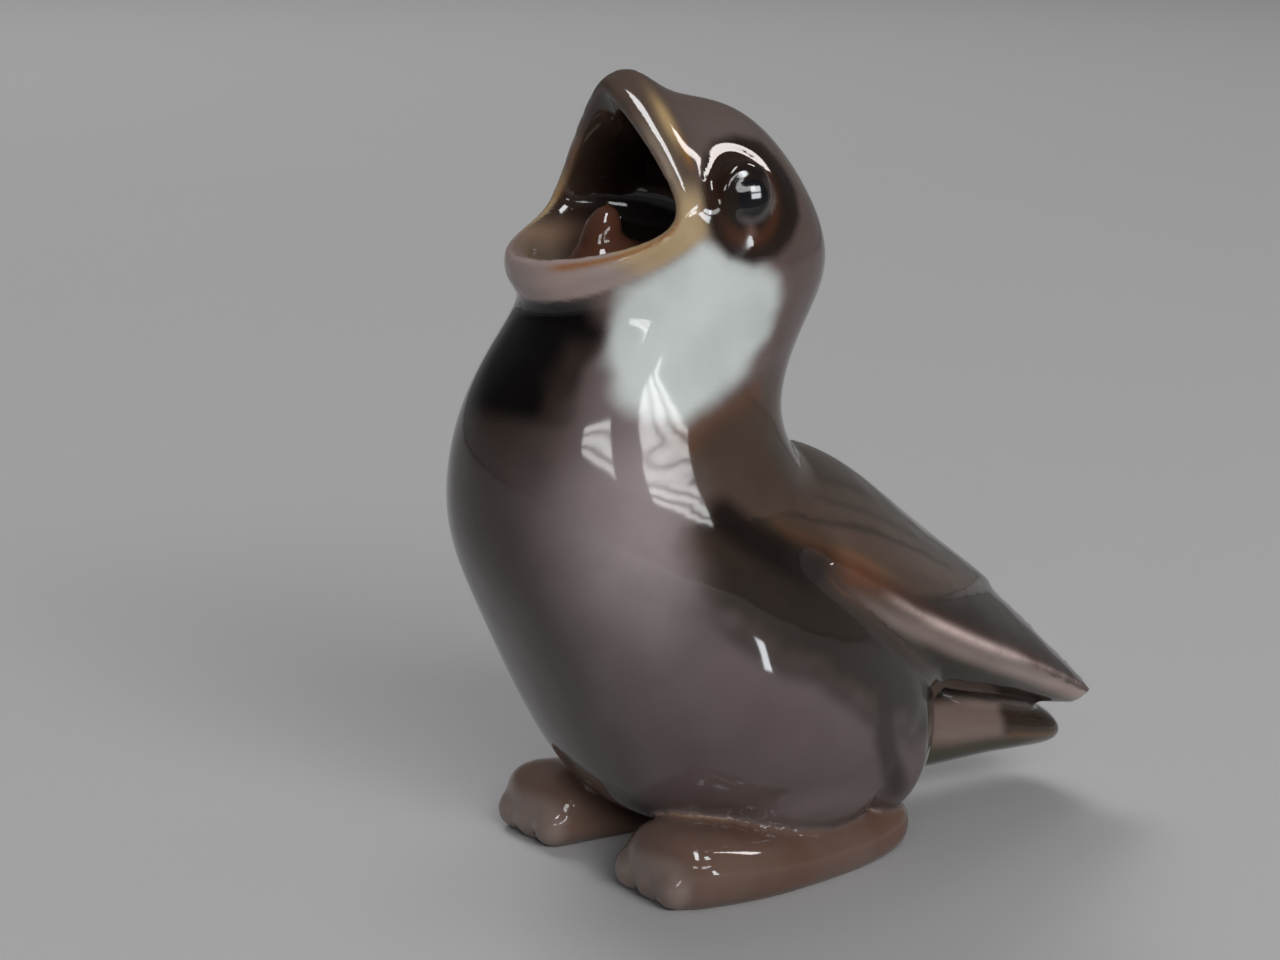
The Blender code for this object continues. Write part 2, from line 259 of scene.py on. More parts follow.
def place_on_form(rings, form):
    """Per point: how far along its form, and the cosine and sine round it, as 0 to 1, and the form."""
    along, around = rings.shape[:2]
    angle = ring_angles(around)[None, :] * np.ones((along, 1))
    run = np.linspace(0.0, 1.0, along)[:, None] * np.ones((1, around))
    form_number = np.full((along, around), form / 8.0)
    place = np.stack([run, 0.5 + 0.5 * np.cos(angle), 0.5 + 0.5 * np.sin(angle), form_number], axis=-1)
    return place.reshape(-1, 4)


def forms_of_bird():
    """Every rounded form of the casting with its number, overlapping its neighbours."""
    wing = rings_of_wing(along=150, around=110)
    foot = rings_of_limb(FOOT, along=80, around=72, squareness=0.85)
    leg = rings_of_egg(LEG_CENTRE, LEG_RADII)
    thigh = rings_of_egg(THIGH_CENTRE, THIGH_RADII)
    eye = rings_of_egg(EYE_CENTRE, EYE_RADII)
    forms = [
        (rings_of_body(BODY, along=420, around=260), FORM_BODY),
        (rings_of_limb(TAIL, along=80, around=80), FORM_TAIL),
        (rings_of_egg(TONGUE_CENTRE, TONGUE_RADII, rise=TONGUE_RISE), FORM_TONGUE),
        (rings_of_egg(TONGUE_ROOT_CENTRE, TONGUE_ROOT_RADII), FORM_TONGUE),
    ]
    pairs = ((wing, FORM_WING), (foot, FORM_FOOT), (leg, FORM_LEG), (thigh, FORM_LEG), (eye, FORM_EYE))
    for rings, number in pairs:
        forms += [(rings, number), (mirrored(rings), number)]
    for spread in TOE_SPREAD:
        toe = shifted(rings_of_limb(TOE, along=40, around=40), TOE_CENTRE_X + spread)
        forms += [(toe, FORM_TOE), (mirrored(toe), FORM_TOE)]
    return forms


def mesh_of_forms(name, forms):
    """One mesh of closed lofts with their places, faces outward, on the row's own middle."""
    points, faces, places = [], [], []
    first = 0
    for rings, form in forms:
        along, around = rings.shape[:2]
        points.append(rings.reshape(-1, 3))
        faces += faces_of_loft(along, around, first)
        places.append(place_on_form(rings, form))
        first += along * around
    points = (np.concatenate(points) - np.array([0.0, MIDDLE_Y, 0.0])) * MM
    mesh = bpy.data.meshes.new(name)
    mesh.from_pydata(points.tolist(), [], faces)
    bm = bmesh.new()
    bm.from_mesh(mesh)
    bmesh.ops.recalc_face_normals(bm, faces=bm.faces)
    bm.to_mesh(mesh)
    bm.free()
    store(mesh, "place", np.concatenate(places), "FLOAT_COLOR")
    return mesh


def store(mesh, name, values, kind="FLOAT"):
    """Keeps one value or colour per vertex as a named attribute."""
    field = mesh.attributes.get(name) or mesh.attributes.new(name, kind, "POINT")
    slot = {"FLOAT": "value", "FLOAT_COLOR": "color"}[kind]
    field.data.foreach_set(slot, np.ascontiguousarray(values, dtype=np.float32).ravel())


def add_object(name, mesh):
    item = bpy.data.objects.new(name, mesh)
    bpy.context.scene.collection.objects.link(item)
    return item


def finished_mesh(item, name):
    """The object's mesh as its modifiers leave it."""
    bpy.context.view_layer.update()
    graph = bpy.context.evaluated_depsgraph_get()
    mesh = bpy.data.meshes.new_from_object(
        item.evaluated_get(graph), preserve_all_data_layers=True, depsgraph=graph
    )
    mesh.name = name
    return mesh


def throw_away(*items):
    for item in items:
        bpy.data.objects.remove(item, do_unlink=True)


def floor_block():
    """A block under Z = 0 that leaves both soles flat."""
    bm = bmesh.new()
    bmesh.ops.create_cube(bm, size=1.0)
    bmesh.ops.scale(bm, vec=(0.06, 0.09, 0.006), verts=bm.verts)
    bmesh.ops.translate(bm, vec=(0.0, 0.0, -0.003), verts=bm.verts)
    mesh = bpy.data.meshes.new("floor_block")
    bm.to_mesh(mesh)
    bm.free()
    return add_object("floor_block", mesh)


def vent_drill():
    """A round-ended pocket in the belly between the feet, as deep as the wall shows."""
    bm = bmesh.new()
    radius = VENT_DIAMETER / 2.0 * MM
    bmesh.ops.create_cone(bm, cap_ends=True, segments=40, radius1=radius, radius2=radius, depth=0.010)
    bmesh.ops.translate(bm, vec=(0.0, VENT_Y * MM, 0.0035), verts=bm.verts)
    mesh = bpy.data.meshes.new("vent_drill")
    bm.to_mesh(mesh)
    bm.free()
    return add_object("vent_drill", mesh)


def cast_skin():
    """The forms flow together into one skin, which is smoothed and cut flat under the feet."""
    forms = add_object("forms", mesh_of_forms("forms", forms_of_bird()))
    casting = add_object("casting", forms.data.copy())
    skin = casting.modifiers.new("skin", "REMESH")
    skin.mode = "VOXEL"
    skin.voxel_size = SKIN_VOXEL * MM
    flow = casting.modifiers.new("flow", "SMOOTH")
    flow.factor = 0.5
    flow.iterations = SKIN_SMOOTHING
    cutters = (floor_block(), vent_drill())
    for cutter in cutters:
        cut = casting.modifiers.new(cutter.name, "BOOLEAN")
        cut.operation = "DIFFERENCE"
        cut.object = cutter
    mesh = finished_mesh(casting, "smooth_skin")
    carrier = add_object("carrier", mesh)
    mesh.attributes.new("place", "FLOAT_COLOR", "POINT")
    carry = carrier.modifiers.new("places", "DATA_TRANSFER")
    carry.object = forms
    carry.use_vert_data = True
    carry.data_types_verts = {"COLOR_VERTEX"}
    carry.vert_mapping = "POLYINTERP_NEAREST"
    placed = finished_mesh(carrier, "porcelain_sparrow_fine")
    throw_away(forms, casting, carrier, *cutters)
    return placed


def read_vectors(mesh, source, name, size):
    values = np.empty(len(source) * size, dtype=np.float32)
    source.foreach_get(name, values)
    return values.reshape(-1, size).astype(float)


class Surface:
    """The skin's points in millimetres with their places, and averages over neighbouring points."""

    def __init__(self, mesh):
        self.mesh = mesh
        self.read_points()
        place = mesh.attributes["place"]
        self.place = read_vectors(mesh, place.data, "color", 4)
        edges = np.empty(len(mesh.edges) * 2, dtype=np.int32)
        mesh.edges.foreach_get("vertices", edges)
        self.edges = edges.reshape(-1, 2)
        self.count = np.bincount(self.edges.ravel(), minlength=len(self.points))

    def read_points(self):
        points = read_vectors(self.mesh, self.mesh.vertices, "co", 3) / MM
        self.points = points + np.array([0.0, MIDDLE_Y, 0.0])
        self.normals = read_vectors(self.mesh, self.mesh.vertex_normals, "vector", 3)

    def soften(self, values, rounds):
        """Moves each value half way to the mean of its neighbours, several times."""
        left, right = self.edges.T
        size = len(self.points)
        for _ in range(rounds):
            total = np.bincount(left, values[right], size) + np.bincount(right, values[left], size)
            values = 0.5 * values + 0.5 * total / np.maximum(self.count, 1)
        return values

    def relax(self, share):
        """Moves each point towards the mean of its neighbours by its share of the way."""
        left, right = self.edges.T
        size = len(self.points)
        total = np.zeros_like(self.points)
        for axis in range(3):
            values = self.points[:, axis]
            total[:, axis] = np.bincount(left, values[right], size) + np.bincount(right, values[left], size)
        mean = total / np.maximum(self.count, 1)[:, None]
        self.points = self.points + share[:, None] * (mean - self.points)

    def settle(self):
        """Writes the points back into the mesh and reads its normals again."""
        moved = (self.points - np.array([0.0, MIDDLE_Y, 0.0])) * MM
        self.mesh.vertices.foreach_set("co", moved.astype(np.float32).ravel())
        self.mesh.update()
        self.read_points()

    def push(self, distance):
        """Moves the points along their normals by a distance in millimetres."""
        self.points = self.points + self.normals * distance[:, None]
        self.settle()


def smoothstep(low, high, values):
    part = np.clip((values - low) / (high - low), 0.0, 1.0)
    return part * part * (3.0 - 2.0 * part)


def oval(u, v, centre, radii, tilt=0.0):
    """Distance from the centre of a tilted oval in units of its radii."""
    du, dv = u - centre[0], v - centre[1]
    turned_u = du * math.cos(tilt) + dv * math.sin(tilt)
    turned_v = dv * math.cos(tilt) - du * math.sin(tilt)
    return np.hypot(turned_u / radii[0], turned_v / radii[1])


def inside(u, v, outline, softness):
    """1 inside a closed outline, 0 outside, with a ramp of the softness centred on the edge.

    The distance is to the nearest edge segment; the sign comes from counting crossings.
    """
    corners = np.array(outline, dtype=float)
    ends = np.roll(corners, -1, axis=0)
    nearest = np.full(u.shape, np.inf)
    crossings = np.zeros(u.shape, dtype=bool)
    for (u0, v0), (u1, v1) in zip(corners, ends):
        du, dv = u1 - u0, v1 - v0
        part = np.clip(((u - u0) * du + (v - v0) * dv) / (du * du + dv * dv), 0.0, 1.0)
        nearest = np.minimum(nearest, np.hypot(u - u0 - part * du, v - v0 - part * dv))
        spans = (v0 > v) != (v1 > v)
        height = np.where(spans, v - v0, 0.0) / (dv if dv else 1.0)
        crossings ^= spans & (u < u0 + height * du)
    signed = np.where(crossings, nearest, -nearest)
    return smoothstep(-softness, softness, signed)


EYE_PLACE = (-3.9, 63.7)
EYE_TILT = math.radians(-16.0)
EYEBALL_RADII = (2.7, 3.2)
EYE_SOCKET = 0.15
EYE_BROW = 0.08
# The dome over the eyeball: where it is foremost, which way it faces, its radius and its width
EYE_FRONT = (12.35, -4.0, 64.0)
EYE_AZIMUTH = 77.0
EYE_RISE = 13.0
EYE_CURVE = 7.0
EYE_CAP = 2.0
# Only points farther than this to the side can be in an eye; all others count as far from it
EYE_BESIDE = 6.0
FAR_FROM_EYE = 9.0
# The hollow between eye and beak: where its middle is, how wide it is and how often it is averaged
HOLLOW_PLACE = (-7.0, 60.4)
HOLLOW_REACH = (3.2, 1.4)
HOLLOW_ROUNDS = 90


def eye_distance(points):
    return oval(points[:, 1], points[:, 2], EYE_PLACE, EYEBALL_RADII, EYE_TILT)


def carve_eyes(surface):
    """Averages the hollow before each eye, then adds the eyeball's dome, a groove and a brow over it."""
    y, z = surface.points[:, 1], surface.points[:, 2]
    from_hollow = np.hypot(y - HOLLOW_PLACE[0], z - HOLLOW_PLACE[1])
    hollow = smoothstep(*HOLLOW_REACH, from_hollow) * (surface.place[:, 0] < 0.72)
    for _ in range(HOLLOW_ROUNDS):
        surface.relax(hollow)
    surface.settle()
    folded = surface.points.copy()
    folded[:, 0] = np.abs(folded[:, 0])
    facing = direction(EYE_AZIMUTH, EYE_RISE)
    from_centre = folded - (np.array(EYE_FRONT) - EYE_CURVE * facing)
    distance = np.linalg.norm(from_centre, axis=1)
    near = smoothstep(EYE_CAP + 0.9, EYE_CAP - 0.5, np.linalg.norm(folded - np.array(EYE_FRONT), axis=1))
    moved = folded + (from_centre / distance[:, None]) * (near * (EYE_CURVE - distance))[:, None]
    moved[:, 0] *= np.sign(surface.points[:, 0])
    surface.points = moved
    surface.settle()
    q = eye_distance(surface.points)
    beside = smoothstep(6.0, 8.5, np.abs(surface.points[:, 0]))
    socket = EYE_SOCKET * bell(q, 1.18, 0.18) * smoothstep(62.0, 65.5, surface.points[:, 2])
    brow = EYE_BROW * bell(q, 1.72, 0.22) * smoothstep(61.0, 65.0, surface.points[:, 2])
    surface.push(beside * (brow - socket))


def melt_seams(surface):
    """Rounds the valleys where the wings and legs grow out of the body, by local averaging."""
    form = np.rint(surface.place[:, 3] * 8.0)
    for grown, rounds in ((FORM_WING, 70), (FORM_LEG, 50)):
        share = surface.soften((form == grown).astype(float), 8)
        seam = surface.soften(np.clip(6.0 * share * (1.0 - share), 0.0, 1.0), 4)
        seam = seam * smoothstep(7.0, 9.0, surface.points[:, 2])
        for _ in range(rounds):
            surface.relax(seam)
    surface.settle()


def distance_to_path(points, path):
    """Distance in millimetres from each point to a polyline, and the share of its length there."""
    path = np.array(path, dtype=float)
    nearest = np.full(len(points), np.inf)
    share = np.zeros(len(points))
    for index, (start, end) in enumerate(zip(path[:-1], path[1:])):
        along = end - start
        part = np.clip(((points - start) @ along) / (along @ along), 0.0, 1.0)
        distance = np.linalg.norm(points - start - part[:, None] * along, axis=1)
        closer = distance < nearest
        nearest = np.where(closer, distance, nearest)
        share = np.where(closer, (index + part) / (len(path) - 1), share)
    return nearest, share


def bell(values, centre, width):
    return np.exp(-(((values - centre) / width) ** 2))


def waves(points, scale, seed):
    """Smooth brush-like unevenness from -1 to 1: a sum of sines in fixed directions."""
    turns = np.random.default_rng(seed)
    total = np.zeros(len(points))
    for _ in range(7):
        heading = turns.normal(size=3)
        heading /= np.linalg.norm(heading)
        length = scale * turns.uniform(0.6, 1.7)
        total += np.sin(points @ heading * 2.0 * math.pi / length + turns.uniform(0.0, 2.0 * math.pi))
    return total / 4.0


class Painter:
    """The bare casting's points, where each lies on its form, and the colours laid so far."""

    def __init__(self, surface):
        self.surface = surface
        folded = surface.points.copy()
        folded[:, 0] = np.abs(folded[:, 0])
        self.points = folded
        self.side, self.y, self.z = folded.T
        run, across, over, form = surface.place.T
        self.run = run
        self.upper = across * 2.0 - 1.0
        self.over = over * 2.0 - 1.0
        self.form = np.rint(form * 8.0)
        self.station = run * (len(BODY) - 1)
        self.neck = NECK_RADIUS * np.arctan2(self.side, -(self.y + 7.0))
        self.uneven = waves(surface.points, 9.0, seed=3)
        self.fine = waves(surface.points, 3.2, seed=8)
        self.colours = np.ones((len(folded), 3)) * np.array(MAUVE)

    def on(self, *forms, rounds=2):
        return self.surface.soften(np.isin(self.form, forms).astype(float), rounds)

    def lay(self, colour, mask):
        """Lays one colour over the others where the mask is 1."""
        mask = np.clip(mask, 0.0, 1.0)[:, None]
        self.colours = self.colours * (1.0 - mask) + np.array(colour) * mask


def paint_trunk(paint):
    """Breast and belly: brown in front, paler in the middle of each side, and below a brown that is partly
    painted shade, strongest next to the ground.
    """
    y, z, side, neck, uneven = paint.y, paint.z, paint.side, paint.neck, paint.uneven
    front = smoothstep(9.5 + uneven, 4.0 + uneven, neck) * smoothstep(0.0, -10.0, y)
    paint.lay(BREAST_BROWN, 0.9 * front)
    pale = oval(neck, z + 1.5 * uneven, (12.0, 36.5), (4.6, 9.0))
    paint.lay(PALE_MAUVE, 0.95 * np.exp(-(pale**2)) * smoothstep(0.0, -8.0, y))
    # Painted shade: the lower front of the belly darkened, partly the belly's own brown
    paint.lay(BELLY_BROWN_AND_SHADE, 0.75 * smoothstep(24.0, 11.0, z + 2.0 * uneven) * smoothstep(14.0, 9.0, neck))
    low_flank = oval(y, z, (-1.0, 14.0), (9.0, 5.5))
    paint.lay(FLANK_PALE, 0.75 * np.exp(-(low_flank**2)) * smoothstep(9.0, 14.0, side))
    # Painted shade near the ground under the body
    paint.lay(BELLY_BROWN_AND_SHADE, 0.6 * smoothstep(8.0, 3.0, z))


def paint_back(paint):
    """Brown from the back over the flank: a rust border above, dark strokes along the lower edge, and painted
    shade on the flank under the wing.
    """
    y, z, side, uneven, fine = paint.y, paint.z, paint.side, paint.uneven, paint.fine
    back = inside(y + 0.5 * fine, z + 0.5 * uneven, BACK_OUTLINE, 2.4)
    paint.lay(BACK_BROWN, 0.94 * back)
    paint.lay(BACK_OLIVE, 0.5 * back * smoothstep(-0.2, 0.9, uneven))
    stroke = ((z - 28.4) + 0.62 * (y + 8.2)) / math.hypot(1.0, 0.62)
    flank = smoothstep(11.0, 16.0, side) * smoothstep(-16.0, -9.0, y) * smoothstep(16.0, 8.0, y)
    paint.lay(FLANK_BROWN_AND_SHADE, 0.85 * flank * bell(stroke + 0.6 * fine, 0.3, 1.5))
    paint.lay(FLANK_BROWN_AND_SHADE, 0.55 * flank * bell(stroke + 0.5 * uneven, -3.0, 1.0))
    paint.lay(FLANK_BROWN_AND_SHADE, 0.5 * flank * bell(stroke + 0.5 * fine, 4.6, 1.3))
    # Painted shade: the flank darkened where it lies under the wing
    shade = inside(y + 0.5 * uneven, z + 0.5 * fine, FLANK_SHADE_OUTLINE, 2.6)
    paint.lay(FLANK_BROWN_AND_SHADE, 0.95 * shade * smoothstep(8.0, 12.0, side))
    rust = inside(y + 0.4 * fine, z + 0.4 * uneven, RUST_OUTLINE, 0.9)
    paint.lay(RUST, 0.75 * rust)


def paint_head(paint):
    """Brown crown with a grey painted sheen on top, mauve nape, a white patch on each cheek and a black bib
    under the beak.
    """
    y, z, neck, uneven, fine = paint.y, paint.z, paint.neck, paint.uneven, paint.fine
    paint.lay(NAPE_MAUVE, smoothstep(46.5, 50.0, z + 0.25 * y + 0.4 * fine))
    paint.lay(CROWN_BROWN, smoothstep(58.0, 65.0, z - 0.25 * y + uneven))
    # Painted sheen: a grey sheen laid along the top of the crown
    crown_sheen = bell(paint.side, 6.0, 2.6) * smoothstep(65.0, 68.0, z)
    paint.lay(CROWN_SHEEN_GREY, 0.5 * crown_sheen * smoothstep(6.0, 0.0, y))
    cheek = inside(neck + 0.3 * fine, z + 0.3 * uneven, CHEEK_OUTLINE, 1.1)
    paint.lay(WARM_WHITE, 0.65 * inside(neck + 0.3 * fine, z + 0.3 * uneven, CHEEK_OUTLINE, 2.2))
    paint.lay(CHEEK_WHITE, cheek)
    paint.lay(BREAST_BROWN, 0.85 * inside(neck + 0.4 * fine, z, BIB_OUTLINE, 2.6))
    bib = inside(neck + 0.4 * fine, z, BIB_OUTLINE, 1.2)
    paint.lay(BIB_BLACK, bib)
    paint.lay(BREAST_BROWN, 0.9 * bib * smoothstep(4.0, 6.4, neck + 0.3 * fine) * smoothstep(52.6, 49.8, z))


def paint_eye(paint):
    """A soft dark patch with a redder ring in it, a pale crescent and a pink dot under the pupil."""
    y, z = paint.y, paint.z
    beside = smoothstep(5.0, 7.0, paint.side) * (paint.station < 13.0)
    patch = inside(y, z, MASK_OUTLINE, 0.55)
    paint.lay(NAPE_MAUVE, 0.6 * beside * inside(y, z, MASK_OUTLINE, 1.6))
    paint.lay(MASK_BROWN, beside * patch)
    ring = oval(y, z, EYE_PLACE, EYEBALL_RADII, EYE_TILT)
    low_behind = smoothstep(-0.6, 0.6, 0.30 * (y - EYE_PLACE[0]) - 0.25 * (z - EYE_PLACE[1]))
    paint.lay(IRIS_RUST, beside * patch * bell(ring, 1.18, 0.22) * (0.25 + 0.75 * low_behind))
    paint.lay(RING_BLACK, 0.8 * beside * smoothstep(0.98, 0.82, ring))
    paint.lay(CRESCENT_GREY, 0.85 * beside * bell(ring, 0.66, 0.10) * smoothstep(0.3, 0.9, low_behind))
    paint.lay(DOT_PINK, 0.8 * beside * bell(oval(y, z, DOT_PLACE, (0.6, 0.75)), 0.0, 0.8))


def stroke_along(station, across, path, width):
    """A painted line over a form that follows (station, cosine) points, fading at its ends."""
    stations, cosines = np.array(path, dtype=float).T
    line = np.interp(station, stations, cosines)
    ends = smoothstep(stations[0] - 0.2, stations[0] + 0.4, station)
    ends = ends * smoothstep(stations[-1] + 0.2, stations[-1] - 0.6, station)
    return bell(across, line, width) * ends


def paint_wings(paint):
    """Brown coverts with feather lines, dark primaries past their edge, a paler ridge with a painted
    highlight on it, and a dark underside that is partly painted shade.
    """
    points = paint.points
    ridge, share = distance_to_path(points, through_stations(WING, np.linspace(0.0, 7.0, 60))[:, 3:6])
    station = share * (len(WING) - 1)
    on_wing = paint.on(FORM_WING, rounds=26)
    top = smoothstep(-0.12, 0.06, paint.surface.soften(paint.over, 2))
    along = paint.run * (len(WING) - 1)
    across = paint.upper + 0.02 * paint.fine
    over = on_wing * top
    paint.lay(WING_BROWN, over)
    paint.lay(WING_GREY, 0.8 * over * smoothstep(0.75, 0.1, across) * smoothstep(1.6, 2.6, along))
    paint.lay(WING_OLIVE, 0.7 * over * smoothstep(0.3, -0.5, across))
    for path, width, strength in FEATHER_LINES:
        paint.lay(WING_DARK, strength * over * stroke_along(along, across, path, width))
    paint.lay(WING_PALE, 0.6 * over * stroke_along(along, across, PALE_FEATHER, 0.14))
    paint.lay(WING_TAN, 0.85 * over * stroke_along(along, across, TAN_FEATHER, 0.13))
    edge = 1.0 - (np.maximum(along - COVERT_START, 0.0) / COVERT_RUN) ** COVERT_BEND
    past = smoothstep(-0.03, 0.10, paint.upper - edge) * smoothstep(2.0, 2.5, along)
    paint.lay(PRIMARY_BROWN, 0.95 * over * past)
    red = smoothstep(2.6, 0.5, ridge) * smoothstep(2.0, 2.4, station) * smoothstep(6.4, 4.8, station)
    paint.lay(PRIMARY_RED, 0.8 * over * red)
    # Below the ridge: a pale band, then olive, then dark under the body's side, a brown that is partly
    # painted shade
    below = on_wing * (1.0 - top)
    paint.lay(UNDER_WING_BROWN_AND_SHADE, below)
    paint.lay(UNDER_OLIVE, 0.8 * below * smoothstep(5.2, 3.0, ridge) * smoothstep(2.6, 4.0, station))
    paint.lay(WING_TIP_PINK, 0.9 * below * smoothstep(3.4, 1.4, ridge) * smoothstep(2.0, 3.6, station))
    rusty_part = smoothstep(1.3, 2.0, station) * smoothstep(3.2, 2.2, station)
    paint.lay(RIDGE_RUST, 0.8 * bell(ridge, 0.3, 1.0) * rusty_part)
    # Painted highlight along the middle of the ridge, then a thin pink line on to the tip
    highlight_part = smoothstep(3.2, 3.6, station) * smoothstep(5.2, 4.6, station)
    paint.lay(RIDGE_PINK_AND_HIGHLIGHT, 0.95 * bell(ridge, 0.0, 0.7) * highlight_part)
    paint.lay(RIDGE_PINK_AND_HIGHLIGHT, 0.75 * bell(ridge, 0.0, 0.45) * smoothstep(2.6, 3.2, station))
    # Painted shade round the groove under the wing's front, and a dark line in it that is partly its own
    # brown
    groove, _ = distance_to_path(points, GROOVE_PATH)
    paint.lay(UNDER_WING_BROWN_AND_SHADE, 0.7 * smoothstep(5.0, 1.5, groove) * (paint.z < 36.0))
    paint.lay(GROOVE_BROWN_AND_SHADE, 0.95 * smoothstep(2.6, 0.5, groove))


def paint_tail_and_feet(paint):
    """A pink-mauve tail, olive below partly as painted shade, with a painted shadow of the wing on its top
    and a dark bar near its end; brown feet with pale claws; painted shade along the crease behind the thigh.
    """
    y, z = paint.y, paint.z
    on_tail = paint.on(FORM_TAIL, rounds=3)
    paint.lay(TAIL_PINK, on_tail)
    # Painted shade: the tail's underside darker and olive, partly its own colour
    paint.lay(TAIL_OLIVE_AND_SHADE, on_tail * smoothstep(-0.05, -0.35, paint.over))
    # Painted shadow of the wing on the top of the tail
    paint.lay(UNDER_WING_BROWN_AND_SHADE, 0.8 * on_tail * smoothstep(0.55, 0.85, paint.over))
    bar = smoothstep(29.5, 31.0, y) * smoothstep(-0.25, -0.05, paint.over)
    paint.lay(TAIL_DARK, on_tail * bar)
    paint.lay(TAIL_ORANGE, 0.7 * on_tail * smoothstep(30.0, 32.0, y) * bell(paint.over, -0.16, 0.12))
    on_foot = paint.on(FORM_FOOT, FORM_TOE, rounds=4)
    paint.lay(FOOT_BROWN, on_foot)
    paint.lay(FOOT_RED, 0.6 * on_foot * smoothstep(-0.2, 0.8, paint.uneven))
    claw = smoothstep(-12.2, -13.8, y) * smoothstep(5.4, 4.2, z)
    paint.lay(CLAW_PALE, 0.85 * on_foot * claw)
    # Painted shade along the crease between the thigh and the body
    crease_shade, _ = distance_to_path(paint.points, LEG_CREASE_SHADE_PATH)
    paint.lay(FLANK_BROWN_AND_SHADE, 0.8 * smoothstep(1.9, 0.5, crease_shade) * (1.0 - on_foot))


def paint_beak(paint):
    """Taupe hood, cream flanges along the gape, a pink lower band and a dark mouth."""
    upper, station = paint.upper, paint.station
    on_body = paint.on(FORM_BODY, rounds=1)
    near_rim = station < 14.4
    bill = smoothstep(12.2, 12.9, station) * on_body
    low_bill = smoothstep(10.9, 11.5, station) * smoothstep(-0.30, -0.45, upper) * on_body
    paint.lay(HOOD_TAUPE, bill * smoothstep(-0.05, 0.15, upper))
    paint.lay(LOWER_BILL, low_bill)
    paint.lay(LOWER_PINK, 0.6 * low_bill * bell(upper, -0.88, 0.12))
    patch = bell(oval(station, upper, (12.95, 0.68), (0.24, 0.17)), 0.0, 0.9) * near_rim
    paint.lay(FLANGE_CREAM, 1.2 * on_body * patch)
    orange = bell(oval(station, upper, (12.75, 0.50), (0.12, 0.12)), 0.0, 0.9)
    paint.lay(FLANGE_ORANGE, on_body * near_rim * orange)
    rim_pale = bell(station, 13.85, 0.42) * smoothstep(0.85, 0.45, upper) * smoothstep(-0.1, 0.2, upper)
    paint.lay(RIM_PALE, 0.85 * on_body * rim_pale)
    corner = smoothstep(11.0, 11.7, station) * smoothstep(0.36, 0.12, upper) * smoothstep(-0.72, -0.45, upper)
    paint.lay(FLANGE_TAN, on_body * corner * (station < 16.0))

    mouth = smoothstep(RIM_STATION + 0.1, RIM_STATION + 0.5, station) * on_body
    paint.lay(PALATE_BROWN, mouth)
    paint.lay(MOUTH_FLOOR, mouth * smoothstep(-0.15, -0.6, upper) * smoothstep(17.6, 16.2, station))
    paint.lay(MOUTH_OLIVE, 0.8 * mouth * smoothstep(-0.5, -0.9, upper) * smoothstep(15.2, 16.0, station))
    paint.lay(THROAT_BLACK, mouth * smoothstep(15.8, 17.4, station - 1.2 * smoothstep(0.0, -0.8, upper)))
    inner = bell(station, 14.75, 0.35) * smoothstep(0.75, 0.5, upper) * smoothstep(-0.1, 0.1, upper)
    paint.lay(RIM_ORANGE, 0.5 * on_body * inner)
    line = bell(station, 13.85, 0.26) * smoothstep(0.15, -0.1, upper) * smoothstep(-0.97, -0.88, upper)
    paint.lay(RIM_ORANGE, 0.95 * on_body * line)
    paint.lay(TONGUE_PINK, paint.on(FORM_TONGUE, rounds=6))


def paint_bird(surface):
    """Underglaze colours laid one over another, each with its own soft edge."""
    paint = Painter(surface)
    paint_trunk(paint)
    paint_back(paint)
    paint_head(paint)
    paint_wings(paint)
    paint_tail_and_feet(paint)
    paint_beak(paint)
    paint_eye(paint)
    store(surface.mesh, "underglaze", np.column_stack([paint.colours, np.ones(len(paint.y))]), "FLOAT_COLOR")
    ring = np.where(paint.side > EYE_BESIDE, eye_distance(surface.points), FAR_FROM_EYE)
    store(surface.mesh, "eye_distance", ring)


# Underglaze colours
MAUVE = (0.112, 0.086, 0.084)
PALE_MAUVE = (0.300, 0.252, 0.255)
BREAST_BROWN = (0.038, 0.026, 0.021)
# Brown of the lower belly, laid partly as painted shade
BELLY_BROWN_AND_SHADE = (0.050, 0.037, 0.031)
FLANK_PALE = (0.115, 0.088, 0.085)
# Dark brown of the flank strokes, also laid as painted shade under the wing and in the crease behind the
# thigh
FLANK_BROWN_AND_SHADE = (0.021, 0.014, 0.010)
BACK_BROWN = (0.066, 0.042, 0.029)
BACK_OLIVE = (0.068, 0.054, 0.042)
RUST = (0.105, 0.050, 0.027)
NAPE_MAUVE = (0.105, 0.074, 0.068)
CROWN_BROWN = (0.112, 0.076, 0.062)
# Grey of the painted sheen on the crown
CROWN_SHEEN_GREY = (0.130, 0.110, 0.105)
WARM_WHITE = (0.290, 0.240, 0.230)
CHEEK_WHITE = (0.540, 0.580, 0.565)
BIB_BLACK = (0.004, 0.003, 0.003)
WING_BROWN = (0.084, 0.053, 0.037)
WING_DARK = (0.022, 0.014, 0.010)
WING_GREY = (0.114, 0.080, 0.062)
WING_TAN = (0.200, 0.098, 0.052)
PRIMARY_BROWN = (0.020, 0.010, 0.006)
PRIMARY_RED = (0.062, 0.022, 0.012)
RIDGE_RUST = (0.130, 0.050, 0.024)
# Pale pink of the ridge line, also laid as a painted highlight
RIDGE_PINK_AND_HIGHLIGHT = (0.620, 0.480, 0.440)
# Dark brown of the wing's underside, partly painted shade; also the painted shadow on the tail's top and the
# shade round the groove
UNDER_WING_BROWN_AND_SHADE = (0.020, 0.013, 0.009)
UNDER_OLIVE = (0.040, 0.030, 0.020)
WING_TIP_PINK = (0.420, 0.320, 0.285)
# Dark line of the groove, partly painted shade
GROOVE_BROWN_AND_SHADE = (0.008, 0.004, 0.003)
TAIL_PINK = (0.160, 0.114, 0.098)
TAIL_DARK = (0.032, 0.020, 0.014)
